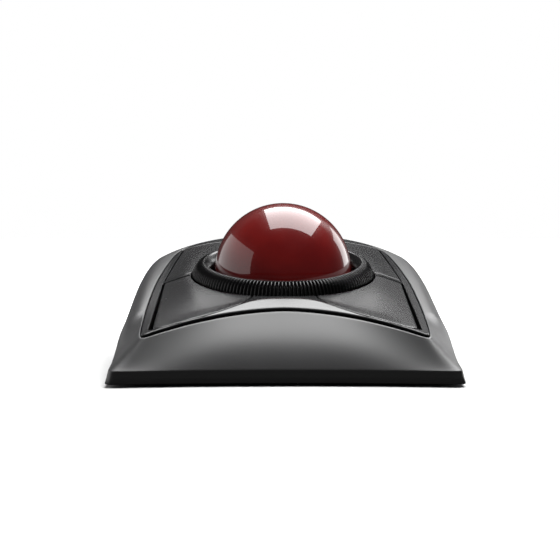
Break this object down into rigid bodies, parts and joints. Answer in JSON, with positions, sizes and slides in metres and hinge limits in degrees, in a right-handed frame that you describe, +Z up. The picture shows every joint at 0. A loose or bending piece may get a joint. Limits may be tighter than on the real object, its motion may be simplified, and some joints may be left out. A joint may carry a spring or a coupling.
{
  "type": "desktop trackball",
  "caption": "Wide sloped desktop trackball with a large deep-red ball, ribbed scroll ring and four broad buttons in a satin grey casing.",
  "frame": {"origin": "centre of the footprint at the level of the desk, under the feet", "axes": "+Z up, -Y towards the user (the low front edge), +X to the user's right; the casing is mirror-symmetric about X=0"},
  "size_m": [0.1294, 0.1505, 0.0655],
  "materials": {
    "shell_satin": "satin moulded plastic, fine texture",
    "base_black": "textured moulded plastic",
    "bezel_gloss": "glossy metallic gunmetal paint under clear coat",
    "button_gloss": "glossy metallic gunmetal paint under clear coat",
    "steel": "zinc-plated steel",
    "ball_red": "polished translucent deep red resin",
    "ring_black": "black ribbed plastic",
    "nylon_white": "natural acetal",
    "inner_black": "moulded plastic",
    "ceramic_white": "polished ceramic",
    "foot_rubber": "soft non-slip rubber",
    "cell_jacket": "printed-free battery jacket",
    "board_green": "solder-masked circuit board",
    "lens_clear": "clear moulded lens",
    "cable_grey": "flat ribbon cable",
    "chip_black": "epoxy chip package"
  },
  "bodies": {
    "root": {"ball_cup": "inner_black", "base_plate": "base_black", "battery_box": "inner_black", "battery_contacts": "steel", "battery_front": "cell_jacket", "battery_rear": "cell_jacket", "battery_springs": "steel", "bearing_balls": "ceramic_white", "board_components": "chip_black", "board_screws": "steel", "button_hinge_pins": "steel", "case_screws": "steel", "connect_switch": "chip_black", "controller_chip": "chip_black", "deck_bezel": "bezel_gloss", "main_board": "board_green", "optical_sensor": "chip_black", "outer_shell": "shell_satin", "power_switch_body": "chip_black", "radio_module": "steel", "receiver_socket": "inner_black", "ribbon_cable_left": "cable_grey", "ribbon_cable_right": "cable_grey", "ring_guide": "nylon_white", "ring_sensor": "chip_black", "ring_sensor_board": "board_green", "rubber_feet": "foot_rubber", "sensor_led": "lens_clear", "sensor_lens": "lens_clear", "side_board_left": "board_green", "side_board_right": "board_green", "side_board_screws": "steel", "switch_front_left": "chip_black", "switch_front_right": "chip_black", "switch_rear_left": "chip_black", "switch_rear_right": "chip_black"},
    "ball_body": {"ball": "ball_red"},
    "ring_body": {"scroll_ring": "ring_black", "ring_encoder": "ring_black"},
    "battery_door_body": {"battery_door": "base_black"},
    "receiver_body": {"receiver": "inner_black"},
    "power_switch_body_knob": {"power_switch_knob": "base_black"},
    "connect_button_body": {"connect_button": "base_black"},
    "front_left_button_body": {"button_front_left": "button_gloss"},
    "front_left_plunger_body": {"plunger_front_left": "nylon_white"},
    "front_right_button_body": {"button_front_right": "button_gloss"},
    "front_right_plunger_body": {"plunger_front_right": "nylon_white"},
    "rear_left_button_body": {"button_rear_left": "button_gloss"},
    "rear_left_plunger_body": {"plunger_rear_left": "nylon_white"},
    "rear_right_button_body": {"button_rear_right": "button_gloss"},
    "rear_right_plunger_body": {"plunger_rear_right": "nylon_white"}
  },
  "joints": [
    {"name": "ball_roll", "type": "hinge", "parent": "root", "child": "ball_body", "pos_m": [0, 0, 0.038], "axis": [1, 0, 0], "continuous": true},
    {"name": "ring_turn", "type": "hinge", "parent": "root", "child": "ring_body", "pos_m": [0, 0, 0.038], "axis": [0, -0.2079, 0.9781], "continuous": true},
    {"name": "front_left_press", "type": "hinge", "parent": "root", "child": "front_left_button_body", "pos_m": [-0.043, -0.0046, 0.02967], "axis": [1, 0, 0], "range_deg": [0, 1.3], "stiffness_Nm_per_rad": 0.5, "springref_deg": -3.44},
    {"name": "front_left_click", "type": "slide", "parent": "root", "child": "front_left_plunger_body", "axis": [0, 0.1994, -0.9799], "range_m": [0, 0.0006]},
    {"name": "front_right_press", "type": "hinge", "parent": "root", "child": "front_right_button_body", "pos_m": [0.043, -0.0046, 0.02967], "axis": [1, 0, 0], "range_deg": [0, 1.3], "stiffness_Nm_per_rad": 0.5, "springref_deg": -3.44},
    {"name": "front_right_click", "type": "slide", "parent": "root", "child": "front_right_plunger_body", "axis": [0, 0.1994, -0.9799], "range_m": [0, 0.0006]},
    {"name": "rear_left_press", "type": "hinge", "parent": "root", "child": "rear_left_button_body", "pos_m": [-0.043, 0.0046, 0.03154], "axis": [-1, 0, 0], "range_deg": [0, 1.3], "stiffness_Nm_per_rad": 0.5, "springref_deg": -3.44},
    {"name": "rear_left_click", "type": "slide", "parent": "root", "child": "rear_left_plunger_body", "axis": [0, 0.1994, -0.9799], "range_m": [0, 0.0006]},
    {"name": "rear_right_press", "type": "hinge", "parent": "root", "child": "rear_right_button_body", "pos_m": [0.043, 0.0046, 0.03154], "axis": [-1, 0, 0], "range_deg": [0, 1.3], "stiffness_Nm_per_rad": 0.5, "springref_deg": -3.44},
    {"name": "rear_right_click", "type": "slide", "parent": "root", "child": "rear_right_plunger_body", "axis": [0, 0.1994, -0.9799], "range_m": [0, 0.0006]},
    {"name": "battery_door_swing", "type": "hinge", "parent": "root", "child": "battery_door_body", "pos_m": [0, 0.0386, 0.0023], "axis": [-1, 0, 0], "range_deg": [0, 80]},
    {"name": "receiver_pull", "type": "slide", "parent": "root", "child": "receiver_body", "axis": [0, 0, -1], "range_m": [0, 0.016]},
    {"name": "power_switch_slide", "type": "slide", "parent": "root", "child": "power_switch_body_knob", "axis": [0, 1, 0], "range_m": [0, 0.003]},
    {"name": "connect_press", "type": "slide", "parent": "root", "child": "connect_button_body", "axis": [0, 0, 1], "range_m": [0, 0.0005], "stiffness_N_per_m": 150, "springref_m": -0.0008}
  ],
  "couplings": [
    {"joint": "front_left_click", "follows": "front_left_press", "m_per_rad": 0.0225},
    {"joint": "front_right_click", "follows": "front_right_press", "m_per_rad": 0.0225},
    {"joint": "rear_left_click", "follows": "rear_left_press", "m_per_rad": 0.0225},
    {"joint": "rear_right_click", "follows": "rear_right_press", "m_per_rad": 0.0225}
  ]
}
